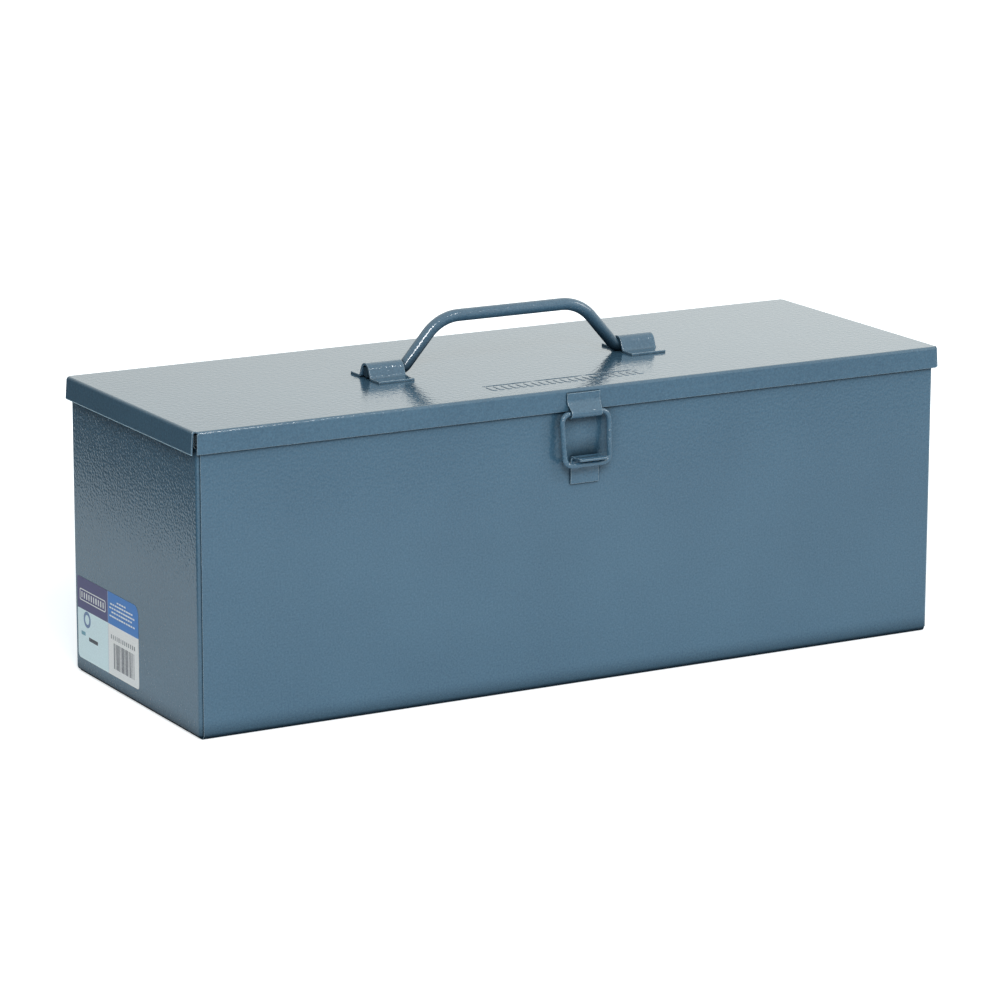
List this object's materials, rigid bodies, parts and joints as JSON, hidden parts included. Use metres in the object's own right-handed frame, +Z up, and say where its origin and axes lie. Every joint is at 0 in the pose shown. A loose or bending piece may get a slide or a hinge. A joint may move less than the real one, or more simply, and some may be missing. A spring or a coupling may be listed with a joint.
{
  "type": "steel tool box",
  "caption": "Long folded-steel tool box with a shallow hinged lid, a bar handle that turns in two straps, and a wire loop that hooks under a tongue.",
  "frame": {"origin": "middle of the underside of the case, on the surface that the box stands on", "axes": "+X along the length to the right seen from the front, +Y from the latch towards the hinges, +Z up"},
  "size_m": [0.4054, 0.1545, 0.1733],
  "materials": {
    "case_enamel": "gloss blue-grey enamel with a fine hammered texture",
    "lid_enamel": "gloss blue-grey enamel with a fine hammered texture",
    "handle_enamel": "gloss blue-grey enamel, smooth on the round bar",
    "fittings_enamel": "gloss blue-grey enamel over pressed straps, tongue and bent wire",
    "hinge_enamel": "gloss blue-grey enamel over the rolled hinges at the back",
    "label_paper": "printed paper sticker, semi-gloss"
  },
  "bodies": {
    "case": {"case_wrapper": "case_enamel", "left_end_panel": "case_enamel", "right_end_panel": "case_enamel", "latch_catch": "fittings_enamel", "left_hinge_case_leaf": "hinge_enamel", "right_hinge_case_leaf": "hinge_enamel", "left_hinge_pin": "hinge_enamel", "right_hinge_pin": "hinge_enamel"},
    "lid": {"lid_pan": "lid_enamel", "left_handle_strap": "fittings_enamel", "right_handle_strap": "fittings_enamel", "latch_hanger": "fittings_enamel", "left_hinge_lid_leaf": "hinge_enamel", "right_hinge_lid_leaf": "hinge_enamel"},
    "handle": {"carry_handle": "handle_enamel"},
    "latch_loop": {"latch_loop": "fittings_enamel"}
  },
  "joints": [
    {"name": "lid_hinge", "type": "hinge", "parent": "case", "child": "lid", "pos_m": [0, 0.07291, 0.1325], "axis": [-1, 0, 0], "range_deg": [0, 200]},
    {"name": "handle_pivot", "type": "hinge", "parent": "lid", "child": "handle", "pos_m": [-0.002, -0.004, 0.1475], "axis": [1, 0, 0], "range_deg": [-89, 89]},
    {"name": "latch_loop_pivot", "type": "hinge", "parent": "lid", "child": "latch_loop", "pos_m": [-0.0005, -0.07315, 0.1329], "axis": [-1, 0, 0], "range_deg": [-9, 172]}
  ]
}
